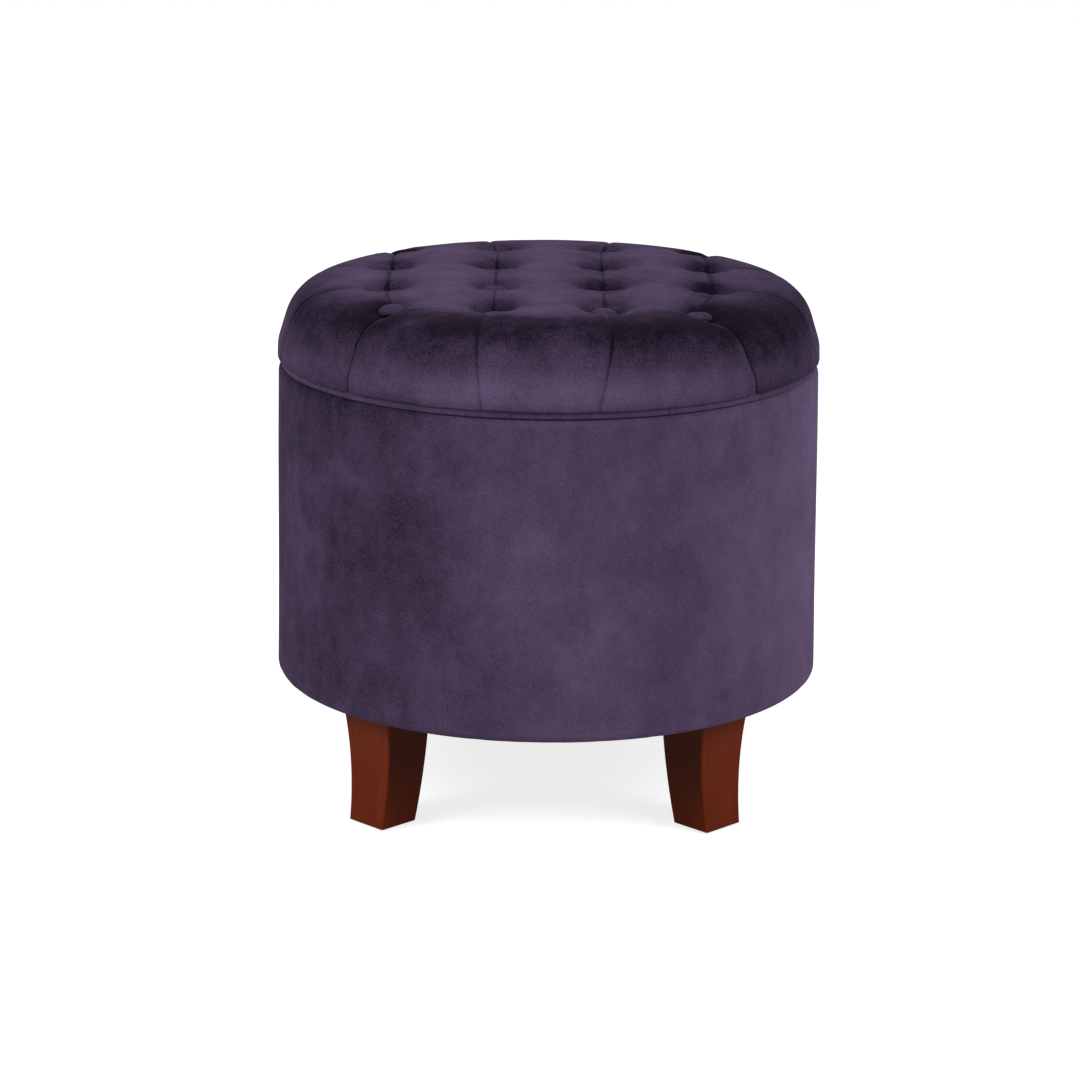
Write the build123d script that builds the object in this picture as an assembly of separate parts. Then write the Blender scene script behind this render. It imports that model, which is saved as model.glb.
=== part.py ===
"""Round button-tufted storage ottoman with a lift-off lid, in millimetres.

Z is up and the floor is z = 0. The front is towards -Y. The velvet barrel stands on four sabre
legs, and the cushioned lid drops into its mouth on a locating ring.
"""

from build123d import *
import math
import os

# Overall size
overall_diameter = 482.6  # across the velvet barrel
overall_height = 457.2  # floor to the crown of the cushion
cushion_height = 62.2  # cushion hem to its crown

# Legs: sabre shaped, faces square to the radius
leg_height = 101.7
leg_top_width = 57.0  # across the radius
leg_foot_width = 43.0
leg_top_depth = 51.0  # along the radius
leg_foot_depth = 40.0
leg_setback = 20.0  # outer face behind the velvet, at top and foot
leg_outer_sag = 4.5  # hollow of the outer face
leg_inner_sag = 2.5  # belly of the inner face
leg_edge_radius = 2.0
glide_thickness = 2.0
glide_diameter = 22.0
glide_chamfer = 0.6
nail_diameter = 2.5
nail_length = 14.0

# Leg fixings
bolt_diameter = 8.0
bolt_grip = 32.0  # depth of the bolt in the leg
tee_nut_wall = 1.4
tee_nut_flange = 24.0
tee_nut_flange_thickness = 1.6

# Barrel
velvet = 1.5
dust_sheet = 0.7
bottom_board_thickness = 15.0
wall_thickness = 6.0
wall_padding_thickness = 9.0
rim_radius = 7.0
foot_radius = 7.0
under_hem = 74.0  # velvet turned under the bottom board
top_ring_width = 23.0
top_ring_thickness = 15.0
lining = 0.8
floor_thickness = 3.0

# Lid boards
lid_gap = 0.3  # velvet lid hem over the velvet rim
band_velvet = 1.2
band_inset = 3.8  # band behind the barrel
base_board_thickness = 9.0
lid_hem = 34.0  # velvet turned under each lid board
cushion_board_thickness = 12.0
cushion_board_inset = 8.3
locating_ring_width = 22.0
locating_ring_depth = 12.0
locating_clearance = 3.0
locating_chamfer = 2.5
lid_lining_thickness = 1.0
screw_count = 8
screw_diameter = 4.0
screw_head = 8.0
screw_tip_cover = 4.0  # board left above the screw tip

# Cushion form
cushion_inset = 1.3  # widest point behind the barrel
hem_inset = 5.3
bulge_height = 9.0  # hem to the widest point
side_lean = 16.0  # shoulder corner behind the widest point
shoulder_radius = 41.0
bulge_radius = 12.0
cover_thickness = 8.0  # quilted velvet over the foam

# Tufts: a square grid of sewn buttons
tuft_rows = 4
tuft_inset = 40.6  # corner buttons behind the widest point
tuft_depth = 16.0  # crown to the button seats
tuft_flare = 0.36  # radius where a dimple leaves the crown, as a share of the pitch
button_diameter = 24.0
button_height = 7.0
button_edge = 2.0
seat_margin = 1.0
seat_padding = 4.0  # cover under a button
sewn_edge = 0.6  # rise left in a flank where it meets the crown
channel_half_width = 14.0
channel_depth = 3.5
pleat_width = 1.6
pleat_depth = 2.2
twine_diameter = 2.4
knot_diameter = 4.4
washer_diameter = 16.0
washer_thickness = 1.5

# Clearances
layer_gap = 0.2  # glue line between nested layers
hole_gap = 0.3  # fixings and twines in their holes

# Levels of the base, from the floor up
z_foot = glide_thickness
z_leg_top = z_foot + leg_height
z_hem = z_leg_top + dust_sheet
z_bottom = z_hem + velvet
z_bottom_top = z_bottom + bottom_board_thickness
z_floor_top = z_bottom_top + floor_thickness

# Levels of the lid and rim, from the crown down
z_seat = overall_height - tuft_depth
z_base_top = overall_height - cushion_height
z_cushion = z_base_top + band_velvet
z_cushion_top = z_cushion + cushion_board_thickness
z_base = z_base_top - base_board_thickness
z_ring_foot = z_base - lid_lining_thickness - locating_ring_depth
z_lid = z_base - band_velvet
z_rim = z_lid - lid_gap
z_wall_top = z_rim - velvet
z_ring = z_wall_top - top_ring_thickness

# Radii, from the outside in
r_body = overall_diameter / 2
r_padding = r_body - velvet
r_wall = r_padding - wall_padding_thickness
r_inside = r_wall - wall_thickness
r_ring = r_inside - top_ring_width
r_mouth = r_ring - velvet
r_locate = r_mouth - locating_clearance
r_band = r_body - band_inset
r_base = r_band - band_velvet - layer_gap
r_cushion = r_body - cushion_inset
r_cushion_hem = r_body - hem_inset
r_cushion_board = r_body - cushion_board_inset
r_leg = r_body - leg_setback
r_bolt = r_leg - leg_top_depth / 2
r_glide = r_leg - leg_foot_depth / 2
r_screw = r_locate - locating_ring_width / 2

leg_angles = {
    "leg_front_right": -45,
    "leg_front_left": -135,
    "leg_rear_right": 45,
    "leg_rear_left": 135,
}
tuft_pitch = (r_cushion - tuft_inset) * math.sqrt(2) / (tuft_rows - 1)
tuft_mouth = tuft_pitch * tuft_flare
tuft_offsets = [(i - (tuft_rows - 1) / 2) * tuft_pitch for i in range(tuft_rows)]
tuft_places = [(x, y) for x in tuft_offsets for y in tuft_offsets]


def disc(radius, low, high, x=0.0, y=0.0):
    """A plain cylinder between two levels."""
    return Pos(x, y, (low + high) / 2) * Cylinder(radius, high - low)


def tube(inner, outer, low, high):
    """A plain ring between two levels."""
    return disc(outer, low, high) - disc(inner, low, high)


def turned(points):
    """A ring or disc turned about Z from the corners of its section."""
    return revolve(make_face(Plane.XZ * Polyline(points, close=True)), Axis.Z)


def at_polar(shape, radius, angle):
    """A shape set out along a radius and turned round to its place."""
    return Rot(0, 0, angle) * Pos(radius, 0, 0) * shape


def ring_of(shape, radius, angles):
    return Compound(children=[at_polar(shape, radius, angle) for angle in angles])


def at_tufts(shape):
    return Compound(children=[Pos(x, y, 0) * shape for x, y in tuft_places])


def dome_arc(radius, level, drop):
    """An arc from a rim up to the axis, with its centre on the axis."""
    ball = (radius**2 + drop**2) / (2 * drop)
    half = math.asin(radius / ball) / 2
    middle = (ball * math.sin(half), level - ball + ball * math.cos(half))
    return ThreePointArc((radius, level - drop), middle, (0, level))


def cut_all(shape, tools):
    for tool in tools:
        shape = shape - tool
    return shape


# Legs
def sabre_leg():
    """One leg along +X: a bent side profile, crossed with a tapering front one."""
    outer_top = (r_leg, z_leg_top)
    outer_foot = (r_leg, z_foot)
    inner_foot = (r_leg - leg_foot_depth, z_foot)
    inner_top = (r_leg - leg_top_depth, z_leg_top)
    side_edges = (
        SagittaArc(outer_top, outer_foot, -leg_outer_sag)
        + Line(outer_foot, inner_foot)
        + SagittaArc(inner_foot, inner_top, leg_inner_sag)
        + Line(inner_top, outer_top)
    )
    side = extrude(make_face(Plane.XZ * side_edges), leg_top_width, both=True)
    front_corners = [
        (-leg_foot_width / 2, z_foot),
        (leg_foot_width / 2, z_foot),
        (leg_top_width / 2, z_leg_top),
        (-leg_top_width / 2, z_leg_top),
    ]
    front = extrude(make_face(Plane.YZ * Polyline(front_corners, close=True)), r_body)
    leg = side & front
    long_edges = [e for e in leg.edges() if e.bounding_box().size.Z > leg_height / 2]
    leg = fillet(long_edges, leg_edge_radius)
    bolt_hole = disc(bolt_diameter / 2 + hole_gap, z_leg_top - bolt_grip, z_leg_top, r_bolt)
    nail_hole = disc(nail_diameter / 2 + hole_gap, z_foot, z_foot + nail_length + hole_gap, r_glide)
    return leg - bolt_hole - nail_hole


leg = sabre_leg()
legs = {name: Rot(0, 0, angle) * leg for name, angle in leg_angles.items()}

glide = disc(glide_diameter / 2, 0, glide_thickness)
glide = chamfer(glide.edges().sort_by(Axis.Z)[0], glide_chamfer)
glide = glide + disc(nail_diameter / 2, glide_thickness / 2, z_foot + nail_length)
leg_glides = ring_of(glide, r_glide, leg_angles.values())

# Leg fixings: a hanger bolt up from each leg into a tee nut let into the bottom board
r_tee_nut = bolt_diameter / 2 + hole_gap + tee_nut_wall
z_tee_nut_top = z_bottom_top - hole_gap
bolt_shape = disc(bolt_diameter / 2, z_leg_top - bolt_grip + hole_gap, z_tee_nut_top)
hanger_bolts = ring_of(bolt_shape, r_bolt, leg_angles.values())

z_flange = z_tee_nut_top - tee_nut_flange_thickness
tee_nut = disc(r_tee_nut, z_bottom, z_flange) + disc(tee_nut_flange / 2, z_flange, z_tee_nut_top)
tee_nut = tee_nut - disc(bolt_diameter / 2 + layer_gap, z_bottom, z_tee_nut_top)
t_nuts = ring_of(tee_nut, r_bolt, leg_angles.values())

tee_nut_hole = disc(r_tee_nut + hole_gap, z_bottom, z_flange) + disc(
    tee_nut_flange / 2 + hole_gap, z_flange, z_bottom_top
)
bolt_clear_hole = disc(bolt_diameter / 2 + 2 * hole_gap, z_leg_top, z_bottom)

# Barrel carcass
bottom_board = disc(r_inside - layer_gap, z_bottom, z_bottom_top)
bottom_board = bottom_board - ring_of(tee_nut_hole, r_bolt, leg_angles.values())
barrel_wall = tube(r_inside, r_wall, z_bottom, z_wall_top)
top_ring = tube(r_ring, r_inside - layer_gap, z_ring, z_wall_top)

# Foam round the barrel wall, rounded over at the rim and the foot
wall_padding = tube(r_wall + layer_gap, r_padding - layer_gap, z_bottom, z_wall_top)
padding_rims = wall_padding.edges().filter_by(GeomType.CIRCLE).group_by(SortBy.RADIUS)[-1]
wall_padding = fillet(padding_rims.sort_by(Axis.Z)[-1], rim_radius - velvet)
padding_rims = wall_padding.edges().filter_by(GeomType.CIRCLE).group_by(SortBy.RADIUS)[-1]
wall_padding = fillet(padding_rims.sort_by(Axis.Z)[0], foot_radius - velvet)


def velvet_envelope(inset):
    """The barrel's outside, drawn in by an inset, with its rounded rim and foot."""
    form = disc(r_body - inset, z_hem + inset, z_rim - inset)
    form = fillet(form.edges().sort_by(Axis.Z)[-1], rim_radius - inset)
    return fillet(form.edges().sort_by(Axis.Z)[0], foot_radius - inset)


# Velvet: round the wall, over the rim into the mouth, and turned under the bottom board
body_cover = velvet_envelope(0) - velvet_envelope(velvet)
body_cover = body_cover - disc(r_mouth, z_wall_top, z_rim)
body_cover = body_cover - disc(r_body - under_hem, z_hem, z_bottom)
mouth_turn = tube(r_mouth, r_ring - layer_gap, z_ring, z_wall_top)
body_cover = body_cover + mouth_turn
mouth_lip = body_cover.edges().filter_by(GeomType.CIRCLE).group_by(Axis.Z)[-1].sort_by(SortBy.RADIUS)[0]
body_cover = fillet(mouth_lip, velvet * 0.9)
body_cover = body_cover - ring_of(bolt_clear_hole, r_bolt, leg_angles.values())

# Lining of the store, up the wall and under the top ring
r_lining = r_inside - layer_gap
wall_lining = tube(r_lining - lining, r_lining, z_floor_top, z_ring) + tube(
    r_ring, r_lining, z_ring - lining, z_ring
)
floor_panel = disc(r_lining - layer_gap, z_bottom_top, z_floor_top)

dust_cover = disc(r_body - foot_radius - velvet, z_leg_top, z_hem)
dust_cover = dust_cover - ring_of(bolt_clear_hole, r_bolt, leg_angles.values())

# Lid boards: a velvet-banded base board under the cushion board, with a locating ring below
screw_angles = [(i + 0.5) * 360 / screw_count for i in range(screw_count)]
z_screw_tip = z_cushion_top - screw_tip_cover
head_height = (screw_head - screw_diameter) / 2
z_shank = z_ring_foot + head_height
screw_corners = [
    (0, z_ring_foot),
    (screw_head / 2, z_ring_foot),
    (screw_diameter / 2, z_shank),
    (screw_diameter / 2, z_screw_tip - screw_diameter),
    (0, z_screw_tip),
]
lid_screws = ring_of(turned(screw_corners), r_screw, screw_angles)
screw_hole = turned(
    [
        (0, z_ring_foot),
        (screw_head / 2 + hole_gap, z_ring_foot),
        (screw_diameter / 2 + hole_gap, z_shank),
        (screw_diameter / 2 + hole_gap, z_screw_tip + hole_gap),
        (0, z_screw_tip + hole_gap),
    ]
)
screw_holes = ring_of(screw_hole, r_screw, screw_angles)

lid_base_board = disc(r_base, z_base, z_base_top) - screw_holes
r_lid_hem = r_band - lid_hem
lid_band = tube(r_lid_hem, r_band, z_lid, z_base) + tube(
    r_base + layer_gap, r_band, z_lid, z_base_top
)
lid_lining = disc(r_lid_hem - layer_gap, z_base - lid_lining_thickness, z_base) - screw_holes
locating_ring = tube(
    r_locate - locating_ring_width, r_locate, z_ring_foot, z_ring_foot + locating_ring_depth
)
lead_in = locating_ring.edges().group_by(Axis.Z)[0].sort_by(SortBy.RADIUS)[-1]
locating_ring = chamfer(lead_in, locating_chamfer) - screw_holes

# Tuft fixings: a twine from each button through the board to a washer and a knot
z_washer = z_cushion + knot_diameter + hole_gap
z_washer_top = z_washer + washer_thickness
twine = disc(twine_diameter / 2, z_washer, z_seat)
knot = Pos(0, 0, z_washer - knot_diameter / 2) * Sphere(knot_diameter / 2)
tuft_twines = at_tufts(twine + knot + disc(twine_diameter / 2, z_washer - knot_diameter / 2, z_washer))
tuft_washers = at_tufts(
    disc(washer_diameter / 2, z_washer, z_washer_top)
    - disc(twine_diameter / 2 + hole_gap, z_washer, z_washer_top)
)
twine_hole = disc(twine_diameter / 2 + hole_gap, z_cushion, z_seat)
washer_hole = disc(washer_diameter / 2 + hole_gap, z_cushion, z_washer_top)

cushion_board = disc(r_cushion_board, z_cushion, z_cushion_top) - screw_holes
cushion_board = cushion_board - at_tufts(washer_hole + twine_hole)

# Buttons: domed, with a rolled edge
r_button = button_diameter / 2
button_corners = (
    Line((0, z_seat), (r_button, z_seat))
    + Line((r_button, z_seat), (r_button, z_seat + button_edge))
    + dome_arc(r_button, z_seat + button_height, button_height - button_edge)
    + Line((0, z_seat + button_height), (0, z_seat))
)
button = revolve(make_face(Plane.XZ * button_corners), Axis.Z)
tuft_buttons = at_tufts(button)


# Cushion: a drum with drawn-in hem, leaning sides, round shoulder and level crown
def cushion_form(inset, low):
    """The cushion's outside drawn in by an inset, cut off flat at a level."""
    crown = overall_height - inset
    corner = (r_cushion - side_lean - inset, crown)
    hem = (r_cushion_hem - inset, z_base_top)
    bulge = (r_cushion - inset, z_base_top + bulge_height)
    face = make_face(Plane.XZ * Polyline((0, crown), (0, z_base_top), hem, bulge, corner, close=True))
    shoulder = [v for v in face.vertices() if abs(v.X - corner[0]) < layer_gap]
    face = fillet(shoulder, shoulder_radius - inset)
    widest = [v for v in face.vertices() if abs(v.X - bulge[0]) < layer_gap]
    face = fillet(widest, bulge_radius)
    return revolve(face, Axis.Z) - disc(r_body, z_lid, low)


def flank(run, drop):
    """The bulging side of a pillow, from the foot of a sewn hollow out to its brow."""
    radius = (run**2 + drop**2) / (2 * drop)
    half = math.asin(run / radius) / 2
    return ThreePointArc(
        (0, -drop),
        (run - radius * math.sin(half), radius * math.cos(half) - radius),
        (run, 0),
    )


def dimple():
    """The hollow pulled down by one button: a flared well with a flat seat."""
    brow = overall_height + sewn_edge
    above = brow + sewn_edge
    well = r_button + seat_margin
    section = (
        Line((0, z_seat), (well, z_seat))
        + Pos(well, brow) * flank(tuft_mouth - well, brow - z_seat)
        + Line((tuft_mouth, brow), (tuft_mouth, above))
        + Line((tuft_mouth, above), (0, above))
        + Line((0, above), (0, z_seat))
    )
    return revolve(make_face(Plane.XZ * section), Axis.Z)


def channel(start, end):
    """The sewn valley between two buttons: two bulging flanks meeting in a crease."""
    side = flank(channel_half_width, channel_depth + sewn_edge)
    w = channel_half_width
    section = (
        side
        + mirror(side, Plane.YZ)
        + Line((w, 0), (w, channel_depth))
        + Line((w, channel_depth), (-w, channel_depth))
        + Line((-w, channel_depth), (-w, 0))
    )
    a = Vector(*start, overall_height + sewn_edge)
    along = Vector(*end, overall_height + sewn_edge) - a
    across = Vector(0, 0, 1).cross(along)
    place = Plane(origin=a, x_dir=across, z_dir=along)
    return extrude(make_face(place * section), along.length)


def side_pleat(start, angle):
    """A sewn tuck from an edge button over the shoulder down to the hem."""
    blade = Box(r_body, pleat_width, overall_height, align=(Align.MIN, Align.CENTER, Align.MIN))
    return Pos(*start, 0) * Rot(0, 0, angle) * blade


outer_offset = tuft_offsets[-1]
neighbours = [
    (here, there)
    for here in tuft_places
    for there in tuft_places
    if there[0] + there[1] > here[0] + here[1] and math.dist(here, there) < tuft_pitch * 1.1
]
pleats = []
for turn in range(4):
    for offset in tuft_offsets[1:-1]:
        pleats.append(Rot(0, 0, 90 * turn) * side_pleat((outer_offset, offset), 0))
    pleats.append(Rot(0, 0, 90 * turn) * side_pleat((outer_offset, outer_offset), 45))

drum = cushion_form(0, z_base_top)
skin = drum - cushion_form(pleat_depth, z_base_top)
pillowed = cut_all(drum, [channel(a, b) for a, b in neighbours])
pillowed = cut_all(pillowed, at_tufts(dimple()).children)
pillowed = cut_all(pillowed, [skin & pleat for pleat in pleats])


def pocket(gap):
    """The well in the foam under one button, opened by a gap."""
    foot = r_button + seat_padding + gap
    low = z_seat - seat_padding - gap
    return turned(
        [(0, low), (foot, low), (foot + tuft_depth - cover_thickness, overall_height), (0, overall_height)]
    )


foam_core = cushion_form(cover_thickness, z_cushion_top)
foam_cavity = cut_all(foam_core, at_tufts(pocket(0)).children)
foam_pad = cushion_form(cover_thickness + layer_gap, z_cushion_top)
foam_pad = cut_all(foam_pad, at_tufts(pocket(layer_gap)).children) - at_tufts(twine_hole)

tufted_cover = pillowed - foam_cavity
tufted_cover = tufted_cover - disc(r_cushion_board + layer_gap, z_cushion, z_cushion_top)
tufted_cover = tufted_cover - disc(r_cushion_hem - lid_hem, z_base_top, z_cushion)
tufted_cover = tufted_cover - at_tufts(twine_hole)

nodes = {
    **legs,
    "leg_glides": leg_glides,
    "hanger_bolts": hanger_bolts,
    "t_nuts": t_nuts,
    "bottom_board": bottom_board,
    "barrel_wall": barrel_wall,
    "top_ring": top_ring,
    "wall_padding": wall_padding,
    "body_cover": body_cover,
    "wall_lining": wall_lining,
    "floor_panel": floor_panel,
    "dust_cover": dust_cover,
    "lid_base_board": lid_base_board,
    "lid_band": lid_band,
    "lid_lining": lid_lining,
    "locating_ring": locating_ring,
    "lid_screws": lid_screws,
    "cushion_board": cushion_board,
    "foam_pad": foam_pad,
    "tufted_cover": tufted_cover,
    "tuft_buttons": tuft_buttons,
    "tuft_twines": tuft_twines,
    "tuft_washers": tuft_washers,
}

os.makedirs("parts", exist_ok=True)
for name, shape in nodes.items():
    export_step(shape, f"parts/{name}.step")
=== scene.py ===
# %% [markdown]
# # A round button-tufted storage ottoman
# A velvet barrel stands on four sabre legs. Its lid lifts off and carries a tufted cushion.
# The hard pieces come from the CAD frame and only get a finish here. The soft pieces are made
# here, over the same sizes, because cloth has folds, nap and slack that a solid model leaves out.

# %% Load the frame
import bpy
import math
import numpy as np
from mathutils import Matrix, Vector, noise


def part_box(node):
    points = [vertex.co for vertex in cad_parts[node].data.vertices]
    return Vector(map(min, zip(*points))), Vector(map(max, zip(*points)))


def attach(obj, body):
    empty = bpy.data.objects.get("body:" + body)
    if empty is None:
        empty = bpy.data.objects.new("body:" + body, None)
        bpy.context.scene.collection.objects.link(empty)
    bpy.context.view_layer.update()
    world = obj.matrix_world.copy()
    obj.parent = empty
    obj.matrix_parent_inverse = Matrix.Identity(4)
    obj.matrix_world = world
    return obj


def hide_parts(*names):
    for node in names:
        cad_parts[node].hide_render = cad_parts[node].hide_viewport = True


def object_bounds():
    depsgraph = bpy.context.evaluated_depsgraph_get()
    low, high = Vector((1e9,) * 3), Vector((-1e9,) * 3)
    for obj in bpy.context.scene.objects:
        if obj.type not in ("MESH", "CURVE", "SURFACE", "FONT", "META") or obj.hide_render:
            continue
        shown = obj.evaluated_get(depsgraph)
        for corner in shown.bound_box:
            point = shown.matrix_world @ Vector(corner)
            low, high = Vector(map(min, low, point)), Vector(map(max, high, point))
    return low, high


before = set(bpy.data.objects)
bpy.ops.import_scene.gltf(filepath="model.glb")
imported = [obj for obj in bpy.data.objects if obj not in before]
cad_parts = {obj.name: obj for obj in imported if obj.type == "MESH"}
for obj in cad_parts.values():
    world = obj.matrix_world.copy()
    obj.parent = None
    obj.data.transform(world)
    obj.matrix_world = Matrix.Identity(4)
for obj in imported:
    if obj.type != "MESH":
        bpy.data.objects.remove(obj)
cad_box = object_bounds()
scene = bpy.context.scene
scene.view_settings.view_transform = "Standard"
MM = 0.001

# %% [markdown]
# ## Sizes shared by the soft pieces
# The cloth pieces wrap boards that are already in the frame, so their sizes are read from the
# boxes of those nodes. Only sizes that belong to the cloth itself are written here.

# %% Sizes
def low(node):
    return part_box(node)[0]


def high(node):
    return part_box(node)[1]


CROWN = high("tufted_cover").z
HEM_LEVEL = low("tufted_cover").z + 0.5 * MM
SEAT_LEVEL = low("tuft_buttons").z
BUTTON_RADIUS = 12 * MM
TUFT_PITCH = (high("tuft_buttons").x - BUTTON_RADIUS) * 2 / 3
TUFT_LINES = [(i - 1.5) * TUFT_PITCH for i in range(4)]
BARREL_RADIUS = cad_box[1].x
RIM_LEVEL = high("body_cover").z
HEM_UNDER = low("body_cover").z
RING_LEVEL = low("top_ring").z
MOUTH_RADIUS = 200.3 * MM
INSIDE_RADIUS = high("wall_lining").x
FLOOR_LEVEL = high("floor_panel").z
print(f"crown {CROWN / MM:.1f} mm, seat {SEAT_LEVEL / MM:.1f} mm, tuft pitch {TUFT_PITCH / MM:.1f} mm")

# %% [markdown]
# ## Camera
# The photograph was taken from the front, a little above the lid, with a long lens. The distance,
# height and lens come from fitting the rim, hem and foot outlines. A half-degree roll follows the
# lean of the barrel's sides, and a small sideways shift puts the ottoman where it stands.

# %% Camera
CAMERA_DISTANCE = 3.10
CAMERA_HEIGHT = 1.050
CAMERA_PITCH = math.radians(15.01)
CAMERA_ROLL = math.radians(0.5)
FOCAL_PIXELS = 3564.0
FRAME_PIXELS = 1080.0
AXIS_PIXEL = 547.1

camera_data = bpy.data.cameras.new("photo_camera")
camera_data.sensor_width = 36.0
camera_data.lens = FOCAL_PIXELS / FRAME_PIXELS * camera_data.sensor_width
camera_data.shift_x = (FRAME_PIXELS / 2 - AXIS_PIXEL) / FRAME_PIXELS
camera = bpy.data.objects.new("photo_camera", camera_data)
camera.location = (0, -CAMERA_DISTANCE, CAMERA_HEIGHT)
tilt = Matrix.Rotation(math.pi / 2 - CAMERA_PITCH, 3, "X") @ Matrix.Rotation(CAMERA_ROLL, 3, "Z")
camera.rotation_euler = tilt.to_euler()
scene.collection.objects.link(camera)
scene.camera = camera
print(f"lens {camera_data.lens:.1f} mm")

# %% [markdown]
# ## Helpers for meshes
# Most soft pieces here are turned about the upright axis, so one helper rounds the corners of a
# section and another turns it. Rounding is worked out from each corner's angle, as a draughtsman
# would set a fillet. Long straights are then divided, and seams get closer columns.

# %% Mesh helpers
def rounded(corners, radii, steps, gap=None):
    """Points of a section with rounded corners; with a gap given, its straights are divided."""
    points = [np.array(corners[0], float)]
    for before, corner, after, radius in zip(corners, corners[1:], corners[2:], radii):
        before, corner, after = (np.array(p, float) for p in (before, corner, after))
        back = (before - corner) / np.linalg.norm(before - corner)
        on = (after - corner) / np.linalg.norm(after - corner)
        half = math.acos(np.clip(back @ on, -1, 1)) / 2
        reach = radius / math.tan(half)
        centre = corner + (back + on) / np.linalg.norm(back + on) * radius / math.sin(half)
        first, last = corner + back * reach - centre, corner + on * reach - centre
        for t in np.linspace(0, 1, steps):
            arm = first * (1 - t) + last * t
            points.append(centre + arm / np.linalg.norm(arm) * radius)
    points.append(np.array(corners[-1], float))
    return divided(points, gap) if gap else np.array(points)


def divided(points, gap):
    """The same line with its long straights divided, so that no step is longer than the gap."""
    made = [points[0]]
    for start, end in zip(points, points[1:]):
        parts = max(1, math.ceil(np.linalg.norm(end - start) / gap))
        made += [start + (end - start) * k / parts for k in range(1, parts + 1)]
    return np.array(made)


def put_in_scene(name, mesh):
    """A smooth mesh object at the origin."""
    mesh.polygons.foreach_set("use_smooth", [True] * len(mesh.polygons))
    piece = bpy.data.objects.new(name, mesh)
    scene.collection.objects.link(piece)
    return piece


def new_piece(name, points, faces):
    """A piece made of points and faces, which are turned outwards by their winding."""
    mesh = bpy.data.meshes.new(name)
    mesh.from_pydata([tuple(map(float, p)) for p in points], [], faces)
    mesh.update()
    return put_in_scene(name, mesh)


SEAM_COLUMNS = 16
SEAM_STEP = 0.002


def from_seam(angle, seam):
    """Angle away from a seam, to either side of it."""
    return (angle - seam + math.pi) % (2 * math.pi) - math.pi


def around(count, seam=None):
    """Angles round the circle, evenly spaced, with closer ones where a seam is."""
    angles = np.arange(count) * 2 * math.pi / count
    if seam is None:
        return angles
    clear = np.abs(from_seam(angles, seam)) > (SEAM_COLUMNS + 1) * SEAM_STEP
    close = (seam + np.arange(-SEAM_COLUMNS, SEAM_COLUMNS + 1) * SEAM_STEP) % (2 * math.pi)
    return np.sort(np.concatenate([angles[clear], close]))


def turned(name, section, angles, sway=None, first_cap=False, last_cap=False):
    """A section of (radius, height), from the underside upwards, turned about Z.

    Sway moves a point by its angle and row. A cap closes the ring that the section starts or ends on.
    """
    rows, columns = len(section), len(angles)
    points, faces = [], []
    for angle in angles:
        for j, (radius, height) in enumerate(section):
            dr, dz = sway(angle, j) if sway else (0, 0)
            out = radius + dr
            points.append((out * math.cos(angle), out * math.sin(angle), height + dz))
    for i in range(columns):
        here, there = i * rows, (i + 1) % columns * rows
        for j in range(rows - 1):
            faces.append((here + j, there + j, there + j + 1, here + j + 1))
    if first_cap:
        faces.append(tuple(i * rows for i in reversed(range(columns))))
    if last_cap:
        faces.append(tuple(i * rows + rows - 1 for i in range(columns)))
    return new_piece(name, points, faces)


def thicken(piece, thickness, material):
    """Gives a single skin its cloth, and its thickness inwards."""
    piece.data.materials.append(material)
    solid = piece.modifiers.new("Cloth thickness", "SOLIDIFY")
    solid.thickness = thickness
    solid.offset = -1
    solid.use_rim = True


def ripple(angle, radius, height, size):
    """A soft, repeatable unevenness between -1 and 1, at a place round the axis."""
    return noise.noise(Vector((math.cos(angle) * radius, math.sin(angle) * radius, height)) / size)


def bell(distance, width):
    """One at the middle, fading away evenly to either side."""
    return math.exp(-((distance / width) ** 2))


def clamped(share):
    return min(1, max(0, share))


def set_tone(piece, values):
    """Stores how pale or dark the velvet is at each point: the lie of its pile, with painted shade and
    painted light.
    """
    tone = piece.data.attributes.new("tone", "FLOAT", "POINT")
    tone.data.foreach_set("value", values)


# %% [markdown]
# ## Shader groups
# Three effects are shared by several finishes: the brushed nap of velvet, the streaks of wood, and
# a fine speckle that keeps plain surfaces from looking like plastic. Each is one node group with
# named inputs. They read Object coordinates, so the marks stay on the piece when it moves.

# %% Node helpers
def feed(tree, node, inputs):
    """Gives a node its inputs, each another node's output or a plain value."""
    for name, value in inputs.items():
        if isinstance(value, bpy.types.NodeSocket):
            tree.links.new(value, node.inputs[name])
        else:
            node.inputs[name].default_value = value


def add_node(tree, kind, inputs=None, **settings):
    """A node with its settings and inputs."""
    made = tree.nodes.new(kind)
    for name, value in settings.items():
        setattr(made, name, value)
    feed(tree, made, inputs or {})
    return made


def add_socket(tree, way, label, kind):
    return tree.interface.new_socket(name=label, in_out=way, socket_type=f"NodeSocket{kind}")


def group_ends(tree):
    """What a node group is given, and the node that takes its results."""
    return tree.nodes.new("NodeGroupInput").outputs, tree.nodes.new("NodeGroupOutput")


def new_group(name, inputs, outputs):
    """A shader group with the usual values of its inputs, and the kinds of its outputs."""
    tree = bpy.data.node_groups.new(name, "ShaderNodeTree")
    for label, value in inputs.items():
        kind = "Color" if isinstance(value, tuple) else "Float"
        add_socket(tree, "INPUT", label, kind).default_value = value
    for label, kind in outputs.items():
        add_socket(tree, "OUTPUT", label, kind)
    return tree, *group_ends(tree)


def math_node(tree, operation, first, second):
    """A Math node on two values."""
    values = {0: first, 1: second}
    return add_node(tree, "ShaderNodeMath", values, operation=operation).outputs[0]


def map_range(tree, value, start, end, first=0.0, last=1.0):
    """Spreads the values between start and end over another range, and holds them to it."""
    limits = {"From Min": start, "From Max": end, "To Min": first, "To Max": last}
    return add_node(tree, "ShaderNodeMapRange", {"Value": value, **limits}).outputs["Result"]


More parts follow.
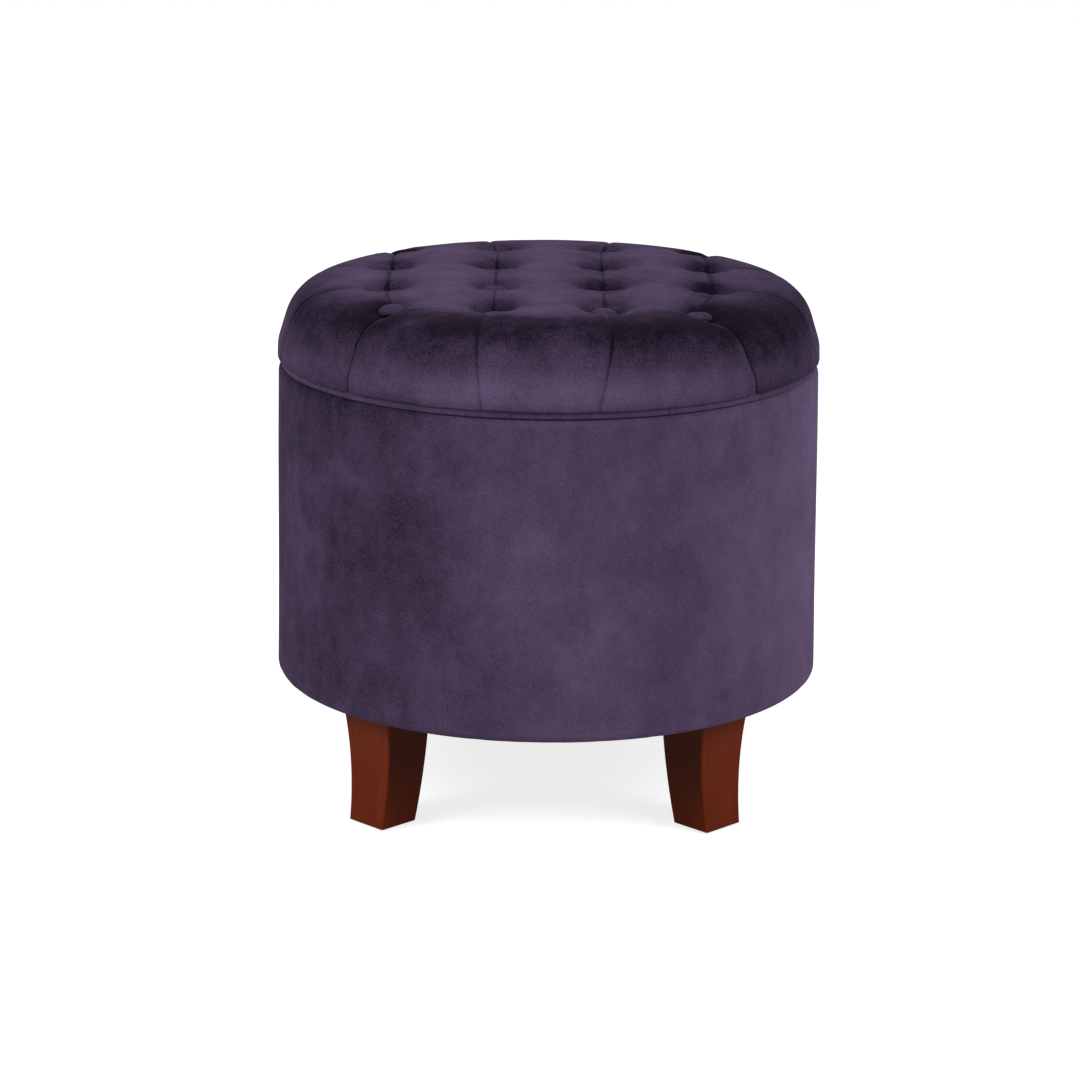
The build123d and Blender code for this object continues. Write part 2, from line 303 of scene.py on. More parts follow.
def mix_colours(tree, share, first, second):
    """Blends two colours by a share."""
    parts = {0: share, 6: first, 7: second}
    return add_node(tree, "ShaderNodeMix", parts, data_type="RGBA").outputs[2]


def place_of(tree):
    """A piece's own coordinates and normals."""
    return add_node(tree, "ShaderNodeTexCoord").outputs


def stretched_noise(tree, stretch, scale, detail=3.0, roughness=0.5):
    """Noise on Object coordinates, stretched by a factor on each axis."""
    place = {"Vector": place_of(tree)["Object"], "Scale": stretch}
    mapped = add_node(tree, "ShaderNodeMapping", place).outputs["Vector"]
    marks = {"Vector": mapped, "Scale": scale, "Detail": detail, "Roughness": roughness}
    return add_node(tree, "ShaderNodeTexNoise", marks).outputs["Fac"]


# %% Velvet nap group
FIBRE_SHARE = 0.8


def make_nap_group():
    """Brushed pile: broad patches, smudges, upright streaks and fine fibre, around a given tone."""
    tree, given, out = new_group(
        "Velvet nap",
        {
            "Dark": (0.0071, 0.0043, 0.010, 1.0),
            "Middle": (0.0706, 0.0468, 0.0943, 1.0),
            "Light": (0.1456, 0.0952, 0.1843, 1.0),
            "Tone": 0.5,
            "Patch": 0.5,
            "Streak": 0.3,
            "Smudge": 0.5,
        },
        {"Color": "Color", "Height": "Float", "Roughness": "Float"},
    )
    patch = stretched_noise(tree, (1, 1, 1.3), 13.0, 3.0, 0.55)
    streak = stretched_noise(tree, (1, 1, 0.16), 55.0, 3.0, 0.6)
    fibre = stretched_noise(tree, (1, 1, 0.7), 900.0, 2.0, 0.7)
    smudge = stretched_noise(tree, (1, 1, 0.8), 48.0, 6.0, 0.72)
    tone = given["Tone"]
    shares = [given["Patch"], given["Streak"], given["Smudge"], FIBRE_SHARE]
    for marks, share in zip((patch, streak, smudge, fibre), shares):
        part = math_node(tree, "MULTIPLY", math_node(tree, "SUBTRACT", marks, 0.5), share)
        tone = math_node(tree, "ADD", tone, part)
    lower, upper = map_range(tree, tone, 0.0, 0.5), map_range(tree, tone, 0.5, 1.0)
    colour = mix_colours(tree, lower, given["Dark"], given["Middle"])
    colour = mix_colours(tree, upper, colour, given["Light"])
    roughness = math_node(tree, "ADD", math_node(tree, "MULTIPLY", patch, 0.12), 0.78)
    feed(tree, out, {"Color": colour, "Height": fibre, "Roughness": roughness})
    return tree


# %% Wood streak and speckle groups
def make_grain_group():
    """Straight wood grain along one axis: long streaks, fine pores and slow changes of tone."""
    tree, given, out = new_group(
        "Wood grain",
        {
            "Dark": (0.110, 0.0150, 0.0034, 1.0),
            "Light": (0.168, 0.0226, 0.0046, 1.0),
            "Contrast": 1.0,
        },
        {"Color": "Color", "Height": "Float"},
    )
    streak = stretched_noise(tree, (1, 1, 0.06), 160.0, 5.0, 0.65)
    cloud = stretched_noise(tree, (1, 1, 0.3), 22.0, 2.0)
    pores = stretched_noise(tree, (1, 1, 0.04), 700.0, 2.0, 0.8)
    slow = math_node(tree, "MULTIPLY", cloud, 0.35)
    blend = math_node(tree, "ADD", math_node(tree, "MULTIPLY", streak, 0.65), slow)
    share = math_node(tree, "MULTIPLY", map_range(tree, blend, 0.32, 0.68), given["Contrast"])
    colour = mix_colours(tree, share, given["Dark"], given["Light"])
    feed(tree, out, {"Color": colour, "Height": math_node(tree, "ADD", streak, pores)})
    return tree


def make_speckle_group():
    """A fine, even speckle about a colour."""
    tree, given, out = new_group(
        "Fine speckle",
        {"Color": (0.1, 0.1, 0.1, 1.0), "Fleck": (0.2, 0.2, 0.2, 1.0), "Amount": 0.5},
        {"Color": "Color", "Height": "Float"},
    )
    fine = stretched_noise(tree, (1, 1, 1), 1100.0, 3.0, 0.7)
    broad = stretched_noise(tree, (1, 1, 1), 30.0, 2.0)
    flecks = math_node(tree, "MULTIPLY", fine, broad)
    share = math_node(tree, "MULTIPLY", flecks, given["Amount"])
    colour = mix_colours(tree, share, given["Color"], given["Fleck"])
    feed(tree, out, {"Color": colour, "Height": fine})
    return tree


NAP = make_nap_group()
GRAIN = make_grain_group()
SPECKLE = make_speckle_group()
print("shader groups:", NAP.name, GRAIN.name, SPECKLE.name)

# %% [markdown]
# ## Finishes
# Velvet looks pale or dark by the way its pile was last brushed, so the nap group sets the tone, and
# a light sheen pales it where it is seen at a slant. The tone attribute of the cushion cover and the
# barrel also carries painted shade and painted light. The legs have a wood stain under a satin
# lacquer, with painted shade on their side faces. Boards are plain plywood, and the linings are thin
# black non-woven cloth.

# %% Material helpers
def new_material(name, roughness=0.8, **sockets):
    """A Principled material; plain values go straight on its sockets."""
    material = bpy.data.materials.new(name)
    material.use_nodes = True
    tree = material.node_tree
    shader = tree.nodes["Principled BSDF"]
    plain = {label.replace("_", " "): value for label, value in sockets.items()}
    feed(tree, shader, {"Roughness": roughness, **plain})
    return material, tree, shader


def place_group(tree, group, **values):
    """A shader group's results, for the given values."""
    return add_node(tree, "ShaderNodeGroup", values, node_tree=group).outputs


def add_bump(tree, shader, height, strength, distance):
    relief = {"Height": height, "Strength": strength, "Distance": distance}
    feed(tree, shader, {"Normal": add_node(tree, "ShaderNodeBump", relief).outputs["Normal"]})


def dress(node, material):
    """Puts a finish on a CAD node."""
    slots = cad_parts[node].data.materials
    slots.clear()
    slots.append(material)


# %% Velvet finishes
SHEEN_TINT = (0.46, 0.33, 0.62, 1.0)


def make_velvet(name, tone=None, patch=0.5, streak=0.18):
    """Plum velvet; with no tone given, the piece's own tone attribute sets it."""
    sheen = {"Sheen_Weight": 0.14, "Sheen_Roughness": 0.35, "Sheen_Tint": SHEEN_TINT}
    material, tree, shader = new_material(name, Specular_IOR_Level=0.015, **sheen)
    if tone is None:
        tone = add_node(tree, "ShaderNodeAttribute", attribute_name="tone").outputs["Fac"]
    nap = place_group(tree, NAP, Tone=tone, Patch=patch, Streak=streak)
    feed(tree, shader, {"Base Color": nap["Color"], "Roughness": nap["Roughness"]})
    add_bump(tree, shader, nap["Height"], 0.35, 0.0006)
    return material


VELVET_BRUSHED = make_velvet("plum velvet brushed")
VELVET_PLAIN = make_velvet("plum velvet band", tone=0.5, patch=0.35, streak=0.2)
VELVET_BUTTON = make_velvet("plum velvet button", tone=0.28, patch=0.2, streak=0.1)

# %% Wood finishes
# Painted shade for the side faces of the legs, which the barrel shades from above.
PAINTED_SIDE_SHADE = (0.03, 0.007, 0.004, 1.0)
GLUE_LINE = (0.24, 0.14, 0.07, 1.0)


def vector_node(tree, operation, first, second=(0, 0, 0)):
    """The results of a Vector Math node on two vectors."""
    vectors = {0: first, 1: second}
    return add_node(tree, "ShaderNodeVectorMath", vectors, operation=operation).outputs


def upright_part(tree, vector):
    return add_node(tree, "ShaderNodeSeparateXYZ", {"Vector": vector}).outputs["Z"]


def make_leg_wood():
    """Wood with a stain under a satin lacquer; painted shade darkens the faces at the sides, less
    towards the foot.
    """
    material, tree, shader = new_material(
        "stained leg wood", 0.36, Coat_Weight=0.015, Coat_Roughness=0.2, Specular_IOR_Level=0.03
    )
    grain, place = place_group(tree, GRAIN), place_of(tree)
    outward = vector_node(tree, "MULTIPLY", place["Object"], (1, 1, 0))["Vector"]
    outward = vector_node(tree, "NORMALIZE", outward)["Vector"]
    facing = vector_node(tree, "DOT_PRODUCT", outward, place["Normal"])["Value"]
    turned_away = map_range(tree, facing, 0.2, 0.85, 0.55, 0.0)
    height = map_range(tree, upright_part(tree, place["Object"]), 12 * MM, 60 * MM, 0.25, 1.15)
    share = math_node(tree, "MULTIPLY", turned_away, height)
    # Painted shade on the faces turned away to the sides, less towards the foot.
    stain_and_shade = mix_colours(tree, share, grain["Color"], PAINTED_SIDE_SHADE)
    feed(tree, shader, {"Base Color": stain_and_shade})
    add_bump(tree, shader, grain["Height"], 0.12, 0.0004)
    return material


def make_plywood():
    """Birch plywood: grain on its faces, thin glue lines round its edges."""
    material, tree, shader = new_material("birch plywood", 0.7)
    grain = place_group(tree, GRAIN, Dark=(0.42, 0.27, 0.14, 1), Light=(0.62, 0.44, 0.26, 1))
    place = place_of(tree)
    waves = {"Vector": place["Object"], "Scale": 105.0, "Distortion": 0.4, "Detail": 1.0}
    plies = add_node(tree, "ShaderNodeTexWave", waves, bands_direction="Z").outputs["Fac"]
    flat = math_node(tree, "ABSOLUTE", upright_part(tree, place["Normal"]), 0.0)
    lines = math_node(tree, "MULTIPLY", plies, math_node(tree, "SUBTRACT", 1.0, flat))
    share = math_node(tree, "MULTIPLY", lines, 0.55)
    edged = mix_colours(tree, share, grain["Color"], GLUE_LINE)
    feed(tree, shader, {"Base Color": edged})
    add_bump(tree, shader, grain["Height"], 0.15, 0.0004)
    return material


LEG_WOOD = make_leg_wood()
PLYWOOD = make_plywood()

# %% Lining, metal and plastic finishes
def make_lining():
    """Spun-bonded lining: fine fibres with a grid of small pressed dots."""
    material, tree, shader = new_material("black lining cloth", 0.9, Sheen_Weight=0.15)
    black, grey = (0.012, 0.012, 0.014, 1), (0.06, 0.06, 0.066, 1)
    speckle = place_group(tree, SPECKLE, Color=black, Fleck=grey, Amount=1.0)
    grid = {"Vector": place_of(tree)["Object"], "Scale": 420.0, "Randomness": 0.15}
    dots = add_node(tree, "ShaderNodeTexVoronoi", grid).outputs["Distance"]
    feed(tree, shader, {"Base Color": speckle["Color"]})
    fibres = math_node(tree, "MULTIPLY", speckle["Height"], 0.4)
    add_bump(tree, shader, math_node(tree, "ADD", dots, fibres), 0.35, 0.0006)
    return material


def make_speckled(name, colour, fleck, roughness, bump, **sockets):
    material, tree, shader = new_material(name, roughness, **sockets)
    speckle = place_group(tree, SPECKLE, Color=colour, Fleck=fleck, Amount=0.8)
    feed(tree, shader, {"Base Color": speckle["Color"]})
    add_bump(tree, shader, speckle["Height"], bump, 0.0003)
    return material


LINING = make_lining()
STEEL, STEEL_FLECK = (0.55, 0.55, 0.53, 1), (0.35, 0.35, 0.34, 1)
NYLON, NYLON_FLECK = (0.035, 0.02, 0.014, 1), (0.07, 0.045, 0.03, 1)
FLAX, FLAX_FLECK = (0.55, 0.48, 0.36, 1), (0.3, 0.25, 0.18, 1)
ZINC = make_speckled("zinc plated steel", STEEL, STEEL_FLECK, 0.34, 0.08, Metallic=1.0)
GLIDE = make_speckled("brown nylon glide", NYLON, NYLON_FLECK, 0.5, 0.15)
TWINE = make_speckled("waxed twine", FLAX, FLAX_FLECK, 0.8, 0.5)

BASE_BOARDS = ["bottom_board", "barrel_wall", "top_ring"]
LID_BOARDS = ["lid_base_board", "locating_ring", "cushion_board"]
FINISHED = {
    LEG_WOOD: ["leg_front_left", "leg_front_right", "leg_rear_left", "leg_rear_right"],
    PLYWOOD: BASE_BOARDS + LID_BOARDS,
    ZINC: ["hanger_bolts", "t_nuts", "lid_screws", "tuft_washers"],
    GLIDE: ["leg_glides"],
    TWINE: ["tuft_twines"],
    LINING: ["floor_panel"],
}
for material, nodes in FINISHED.items():
    for node in nodes:
        dress(node, material)
print("finishes:", len(bpy.data.materials))

# %% [markdown]
# ## Tufted cushion cover
# The cover is pulled down at sixteen buttons in a square grid, whose front row is sewn a little off
# its places. Thin folds run from front to back between the buttons, and from the outer buttons
# twelve tucks run over the shoulder to the hem.
# The mesh follows that sewing: nine square cells inside, and a ring of twelve side panels whose
# columns start on the edge of the square. So every fold is a line of edges that can be pinned, and
# the rows are drawn together there, where the shape changes fastest.

# %% Cushion outline
CELL_STEPS = 26
SIDE_ROWS = 54
LIP_ROWS = 9
HEM_ROWS = 4
CUSHION_RADIUS = BARREL_RADIUS - 1.9 * MM
BAND_RADIUS = high("lid_band").x
LIP_RADIUS = BARREL_RADIUS - 1.6 * MM
LIP_INNER = BAND_RADIUS + 0.4 * MM
LIP_LEVEL = HEM_LEVEL - 4.5 * MM
HEM_TURN_IN = LIP_INNER - 36 * MM
BULGE_LEVEL = HEM_LEVEL + 9 * MM
SHOULDER_CORNER = CUSHION_RADIUS - 16 * MM
COVER_TOP = CROWN - 0.2 * MM
SQUARE = TUFT_LINES[-1]
SIDE_TUCK = 52 * MM
SHOULDER_ROUND = 41 * MM
DOME_RISE = 5 * MM
DOME_REACH = 200 * MM

cushion_section = rounded(
    [
        (0, COVER_TOP),
        (SHOULDER_CORNER, COVER_TOP),
        (CUSHION_RADIUS, BULGE_LEVEL),
        (LIP_RADIUS, LIP_LEVEL),
        (LIP_INNER, LIP_LEVEL),
        (LIP_INNER, HEM_LEVEL),
    ],
    [SHOULDER_ROUND, 12 * MM, 0.8 * MM, 0.4 * MM],
    steps=24,
)
section_steps = np.linalg.norm(np.diff(cushion_section, axis=0), axis=1)
section_run = np.concatenate([[0], np.cumsum(section_steps)])


def on_section(run):
    """Radius and height at a distance along the cushion's outline, from its centre."""
    return (
        np.interp(run, section_run, cushion_section[:, 0]),
        np.interp(run, section_run, cushion_section[:, 1]),
    )


def dome(radius):
    """How far the filling lifts the middle of the cushion above its edge."""
    return DOME_RISE * (1 - min(1, radius / DOME_REACH) ** 4)


LIP_RUN = section_run[-1] - (HEM_LEVEL - LIP_LEVEL) - (LIP_RADIUS - LIP_INNER)
print(f"outline {LIP_RUN / MM:.0f} mm from crown to the lowest edge")

# %% Sewn depth of the cover
TUFT_SINK = COVER_TOP - SEAT_LEVEL
FOLD_DEPTH = 1.3 * MM
FOLD_REACH = 5.5 * MM
DIP_DEPTH = 0.3 * MM
DIP_REACH = 20 * MM
TUCK_DEPTH = 1.5 * MM
TUCK_REACH = 5.5 * MM
SEWN_GAP = 0.1 * MM
hand = np.random.default_rng(11)
TUFT_REACH = hand.uniform(25, 30, (4, 4)) * MM
TUFT_REACH[[0, 3], 0] = 32 * MM
TUFT_RISE = hand.uniform(1, 3, (4, 4)) * MM
TUFT_RISE[[0, 2, 3, 1], [0, 0, 0, 1]] = [10 * MM, 6 * MM, 7 * MM, 6.5 * MM]
TUFT_SHIFT = {0: (8 * MM, 13 * MM), 1: (0, 6 * MM), 2: (0, 6 * MM), 3: (-14 * MM, 8 * MM)}
SHIFT_REACH = 42 * MM


def hand_set(x, y):
    """Where a place on the plan goes, because the front row is sewn a little off the grid."""
    inside = clamped((CUSHION_RADIUS - math.hypot(x, y)) / (32 * MM))
    new_x, new_y = x, y
    for column, (dx, dy) in TUFT_SHIFT.items():
        away = math.hypot(x - TUFT_LINES[column], y - TUFT_LINES[0])
        pull = inside * bell(away, SHIFT_REACH)
        new_x, new_y = new_x + pull * dx, new_y + pull * dy
    return new_x, new_y


def flank(distance, depth, reach):
    """Depth of a pillow's bulging side at a distance from its fold."""
    return depth * np.clip(1 - distance / reach, 0, 1) ** 2


def pulled(along, depth):
    """Depth of a fold, which grows towards its nearest button."""
    return depth + 0.35 * TUFT_SINK * np.clip(1 - along / (TUFT_PITCH / 2), 0, 1) ** 2.4


def well_depth(distance, tuft):
    """Depth of the hollow round a button; by hand, no two are quite alike."""
    sink, reach = TUFT_SINK - TUFT_RISE[tuft], TUFT_REACH[tuft]
    return flank(np.maximum(distance - BUTTON_RADIUS, 0), sink, reach - BUTTON_RADIUS)


def deepest(*depths):
    """The deepest of several hollows, with soft meetings."""
    return sum(d**5 for d in depths) ** (1 / 5)


def nearest_line(value):
    """Number of the nearest tuft line, and the distance to it."""
    gaps = [abs(value - line) for line in TUFT_LINES]
    return int(np.argmin(gaps)), min(gaps)


def top_depth(x, y):
    """How far the sewing pulls the crown down at a place on the plan."""
    (column, gap_x), (row, gap_y) = nearest_line(x), nearest_line(y)
    return deepest(
        flank(gap_x, pulled(gap_y, FOLD_DEPTH), FOLD_REACH),
        flank(gap_y, pulled(gap_x, DIP_DEPTH), DIP_REACH),
        well_depth(math.hypot(gap_x, gap_y), (column, row)),
    )


# %% Cushion mesh: the square of cells
def drawn_in(count, pull=0.6):
    """Steps from 0 to 1, drawn together at both ends, where the folds are."""
    even = np.arange(count) / count
    return even - pull * np.sin(2 * np.pi * even) / (2 * np.pi)


STEPS = 3 * CELL_STEPS
cell_shares = drawn_in(CELL_STEPS)
ticks = np.concatenate([line + TUFT_PITCH * cell_shares for line in TUFT_LINES[:3]] + [[SQUARE]])
cover_points, cover_tone, sewn = [], [], []
TOP_TONE = 0.44


def fold_shade(gap):
    """Painted shade down in a fold, where velvet looks darker."""
    return 0.3 * bell(gap, 1.1 * MM)


def across_shade(x):
    """The top is a little paler to the left and darker to the right."""
    return 0.06 * max(0, x / SQUARE) - 0.08 * clamped(-x / SQUARE)


def hollow_shade(x, y):
    """Painted shade in the hollows round the buttons and along the tuft lines between them."""
    gap_x, gap_y = nearest_line(x)[1], nearest_line(y)[1]
    beyond = max(0, abs(x) - SQUARE, abs(y) - SQUARE)
    between, near = 0.4 * bell(beyond, 12 * MM), 0.6 * bell(gap_y, 26 * MM)
    return 0.42 * bell(gap_x, 24 * MM) * (between + near)


for y in ticks:
    for x in ticks:
        depth = top_depth(x, y)
        gap_x, gap_y = nearest_line(x)[1], nearest_line(y)[1]
        if gap_x < SEWN_GAP or math.hypot(gap_x, gap_y) < BUTTON_RADIUS:
            sewn.append(len(cover_points))
        cover_points.append((*hand_set(x, y), COVER_TOP + dome(math.hypot(x, y)) - depth))
        cover_tone.append(TOP_TONE - across_shade(x) - hollow_shade(x, y) - fold_shade(gap_x))

grid = np.arange((STEPS + 1) ** 2).reshape(STEPS + 1, STEPS + 1)
cover_faces = np.stack([grid[:-1, :-1], grid[:-1, 1:], grid[1:, 1:], grid[1:, :-1]], -1)
cover_faces = cover_faces.reshape(-1, 4).tolist()
edges = [grid[0, :-1], grid[:-1, -1], grid[-1, :0:-1], grid[:0:-1, 0]]
edge_ring = np.concatenate(edges).tolist()
print(f"cells: {len(cover_faces)} faces")

# %% Cushion mesh: the ring of side panels
CORNER_ANGLE = math.radians(49.5)
TUCK_ANGLE = math.asin(SIDE_TUCK / CUSHION_RADIUS)
FRONT_LEFT, FRONT_RIGHT = math.radians(45), math.radians(47.5)
QUARTER = math.pi / 2
hem_angles = [
    [-FRONT_LEFT, -TUCK_ANGLE - 0.01, TUCK_ANGLE - 0.05, FRONT_RIGHT],
    [FRONT_RIGHT - QUARTER, -TUCK_ANGLE, TUCK_ANGLE, QUARTER - CORNER_ANGLE],
    [-CORNER_ANGLE, -TUCK_ANGLE, TUCK_ANGLE, CORNER_ANGLE],
    [CORNER_ANGLE - QUARTER, -TUCK_ANGLE, TUCK_ANGLE, QUARTER - FRONT_LEFT],
]
panel_tones = hand.uniform(-0.04, 0.04, 12)
panel_tones[:3] = [-0.05, 0.0, -0.03]
panel_tones[[3, 4, 11]] += [-0.12, -0.06, -0.04]
SHOULDER_RUN = 110 * MM
# Tone over the lid's edge, from the lip up to the top. Part of it is the brushed nap. Part of it is
# painted light and shade: a painted pale band low down and painted shade over the shoulder.
EDGE_RUN = np.array([0, 8, 20, 37, 54, 64, 78, 97, 116]) * MM
FRONT_NAP_AND_SHADE = np.array([0.5, 0.75, 0.68, 0.37, 0.18, 0.09, 0.02, 0.03, TOP_TONE])
SIDE_NAP_AND_SHADE = np.array([0.27, 0.38, 0.33, 0.22, 0.12, 0.12, 0.20, 0.34, TOP_TONE])


def side_point(side, place, row):
    """A point of a side panel: its position, gap to its tuck, way to the lip and panel."""
    panel, step = divmod(place, CELL_STEPS)
    share = cell_shares[step]
    start = ticks[place]
    hem = hem_angles[side]
    finish = hem[panel] * (1 - share) + hem[panel + 1] * share
    down = 1 - (1 - min(row / SIDE_ROWS, 1)) ** 1.5
    first = math.hypot(start, SQUARE)
    run = first * (1 - down) + section_run[-1] * down
    radius, height = on_section(run)
    height += dome(radius)
    out = run - first
    beside = min(share, 1 - share) * TUFT_PITCH * (1 + 0.25 * down)
    column = panel if share < 0.5 else panel + 1
    corner = {0: (column, 0), 1: (3, column), 2: (3 - column, 3), 3: (0, 3 - column)}[side]
    depth = deepest(
        flank(beside, pulled(out, TUCK_DEPTH * (1 - 0.3 * down)), TUCK_REACH),
        flank(out, pulled(beside, DIP_DEPTH), DIP_REACH),
        well_depth(math.hypot(beside, out), corner),
    ) * min(1, (1 - down) * 14)
    slope = np.subtract(on_section(run + 0.5 * MM), on_section(run))
    slope = slope / np.linalg.norm(slope) if np.linalg.norm(slope) > 1e-9 else np.array([0, -1])
    angle = math.atan2(start, SQUARE) * (1 - down) + finish * down + side * QUARTER
    radius, height = radius + slope[1] * depth, height - slope[0] * depth
    if row > SIDE_ROWS:
        radius = LIP_INNER + (HEM_TURN_IN - LIP_INNER) * (row - SIDE_ROWS) / HEM_ROWS
    uneven = ripple(angle, 5, 0.0, 0.6) * down**2
    radius += 0.45 * MM * (uneven + down**2) * (row <= SIDE_ROWS)
    height += 0.9 * MM * uneven * (row < SIDE_ROWS - 1)
    position = (radius * math.sin(angle), -radius * math.cos(angle), height)
    return position, beside, LIP_RUN - run, panel


rings = [edge_ring]
for row in range(1, SIDE_ROWS + HEM_ROWS + 1):
    ring = []
    for column in range(4 * STEPS):
        side, place = divmod(column, STEPS)
        point, beside, to_lip, panel = side_point(side, place, row)
        if beside < SEWN_GAP or row >= SIDE_ROWS - LIP_ROWS:
            sewn.append(len(cover_points))
        ring.append(len(cover_points))
        cover_points.append((*hand_set(point[0], point[1]), point[2]))
        turned_over = clamped((SHOULDER_RUN - to_lip) / (30 * MM))
        # The front, with the palest hem and the darkest shoulder, takes its own row of painted light
        # and shade.
        ahead = bell(math.atan2(point[0], -point[1]), 0.8)
        edge_nap_and_shade = FRONT_NAP_AND_SHADE * ahead + SIDE_NAP_AND_SHADE * (1 - ahead)
        shade = np.interp(to_lip, EDGE_RUN, edge_nap_and_shade) + panel_tones[side * 3 + panel] * turned_over
        shade -= across_shade(point[0]) * (1 - turned_over)
        shade -= hollow_shade(point[0], point[1]) + 0.8 * fold_shade(beside)
        cover_tone.append(float(shade))
    rings.append(ring)
for inner, outer in zip(rings, rings[1:]):
    for column in range(4 * STEPS):
        after = (column + 1) % (4 * STEPS)
        cover_faces.append((inner[column], outer[column], outer[after], inner[after]))
cover_faces.append(tuple(reversed(rings[-1])))

cushion = new_piece("cushion_cover", cover_points, cover_faces)
set_tone(cushion, np.clip(cover_tone, -0.1, 1.2).astype(np.float32))
print(f"cushion cover: {len(cover_points)} points, {len(sewn)} of them sewn down")

# %% [markdown]
# ## Filling the cushion
# The sewn points are pinned and the closed cover is put under pressure for twenty frames with no
# gravity. A point may move only a few millimetres, so the pillows swell but the sewing holds.

# %% Cloth simulation
SWELL_LIMIT = 2.5 * MM
FILLING_PRESSURE = 4.0
CLOTH = {
    "quality": 5,
    "mass": 0.25,
    "tension_stiffness": 12,
    "compression_stiffness": 12,
    "shear_stiffness": 6,
    "bending_stiffness": 1.5,
    "use_pressure": True,
    "vertex_group_mass": "sewn",
}


def places_of(mesh):
    """The places of a mesh's points, one row each."""
    places = np.empty((len(mesh.vertices), 3), np.float32)
    mesh.vertices.foreach_get("co", places.ravel())
    return places


def move_points(mesh, places):
    mesh.vertices.foreach_set("co", places.ravel())
    mesh.update()


def swell(piece, pinned, pressure, limit, frames=20):
    """Blows a closed cover up with Blender's cloth and keeps the result in the mesh."""
    before = places_of(piece.data)
    piece.vertex_groups.new(name="sewn").add(pinned, 1.0, "REPLACE")
    cloth = piece.modifiers.new("Filling", "CLOTH")
    settings = cloth.settings
    for label, value in CLOTH.items():
        setattr(settings, label, value)
    settings.uniform_pressure_force = pressure
    settings.effector_weights.gravity = 0
    cloth.collision_settings.use_collision = False
    cloth.point_cache.frame_end = frames
    for number in range(1, frames + 1):
        scene.frame_set(number)
    after = places_of(piece.evaluated_get(bpy.context.evaluated_depsgraph_get()).data)
    piece.modifiers.remove(cloth)
    scene.frame_set(1)
    move = after - before
    length = np.linalg.norm(move, axis=1, keepdims=True)
    move *= limit * np.tanh(length / limit) / np.maximum(length, 1e-9)
    move_points(piece.data, before + move)
    return float(np.median(length)), float(length.max())


middle, most = swell(cushion, sewn, FILLING_PRESSURE, SWELL_LIMIT)
print(f"filling moved the cover {middle / MM:.1f} mm at the middle and {most / MM:.1f} mm at most")

# %% [markdown]
# ## Gathers round the buttons
# Where a button pulls the cover down, spare cloth gathers into small uneven folds. They are finer
# than the simulated mesh can carry, so they are pushed in afterwards as short radial ripples.

# %% Gathers and sharp creases
GATHER_REACH = 34 * MM
GATHER_RING = 17 * MM
GATHER_WIDTH = 8 * MM
GATHER_HEIGHT = 0.4 * MM
CREASE = 0.65


def gather(piece):
    """Uneven radial folds about each button, fading out over the pillow."""
    co = places_of(piece.data)
    for number, (bx, by) in enumerate(hand_set(x, y) for x in TUFT_LINES for y in TUFT_LINES):
        away = np.hypot(co[:, 0] - bx, co[:, 1] - by)
        near = (away < GATHER_REACH) & (co[:, 2] > SEAT_LEVEL - 4 * MM)
        angle = np.arctan2(co[near, 1] - by, co[near, 0] - bx)
        fade = np.exp(-(((away[near] - GATHER_RING) / GATHER_WIDTH) ** 2))
        folds = np.sin(7 * angle + number) + 0.6 * np.sin(11 * angle + 2.3 * number)
        co[near, 2] += GATHER_HEIGHT * fade * folds
    move_points(piece.data, co)


def sharpen(piece, pinned, weight):
    """Keeps the sewn lines crisp when the cover is subdivided."""
    held = set(pinned)
    crease = piece.data.attributes.new("crease_edge", "FLOAT", "EDGE")
    values = [weight if held.issuperset(edge.vertices) else 0.0 for edge in piece.data.edges]
    crease.data.foreach_set("value", values)


gather(cushion)
sharpen(cushion, sewn, CREASE)
finer = cushion.modifiers.new("Smooth cloth", "SUBSURF")
finer.levels = finer.render_levels = 1
cushion.data.materials.append(VELVET_BRUSHED)
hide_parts("tufted_cover", "foam_pad")
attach(cushion, "lid")
print("cushion cover rides on the lid")

# %% [markdown]
# ## Geometry Nodes for what repeats
# Sixteen buttons stand where the cover is sewn down, and rows of staples run round the linings. Each
# is one small shape set out by a node tree, then turned into a plain mesh so that it exports.

# %% Node tree helpers
def new_layout(name, inputs):
    """A Geometry Nodes tree that sets a shape out on points and ends as a real mesh."""
    tree = bpy.data.node_groups.new(name, "GeometryNodeTree")
    tree.is_modifier = True
    for label, kind in {"Geometry": "Geometry", **inputs}.items():
        add_socket(tree, "INPUT", label, kind)
    add_socket(tree, "OUTPUT", "Geometry", "Geometry")
    return tree, *group_ends(tree)


def finish_layout(tree, given, out, points, turn):
    """Instances the given shape on the points, makes it real and gives it its material."""
    shape = add_node(tree, "GeometryNodeObjectInfo", {"Object": given["Shape"]})
    standing = {"Points": points, "Instance": shape.outputs["Geometry"], "Rotation": turn}
    made = add_node(tree, "GeometryNodeInstanceOnPoints", standing).outputs["Instances"]
    made = add_node(tree, "GeometryNodeRealizeInstances", {"Geometry": made}).outputs["Geometry"]
    paint = {"Geometry": made, "Material": given["Material"]}
    painted = add_node(tree, "GeometryNodeSetMaterial", paint).outputs["Geometry"]
    feed(tree, out, {"Geometry": painted})


def laid_out(name, tree, values, places=()):
    """Runs a layout tree and keeps its result as a plain mesh object at the origin."""
    carrier = new_piece(name + "_layout", places, [])
    layout = carrier.modifiers.new("Layout", "NODES")
    layout.node_group = tree
    for item in tree.interface.items_tree:
        if item.in_out == "INPUT" and item.name in values:
            layout[item.identifier] = values[item.name]
    carrier.update_tag()
    graph = bpy.context.evaluated_depsgraph_get()
    mesh = bpy.data.meshes.new_from_object(carrier.evaluated_get(graph), depsgraph=graph)
    bpy.data.objects.remove(carrier)
    mesh.name = name
    return put_in_scene(name, mesh)


# %% Layout trees
STAPLE_WOBBLE = 0.12


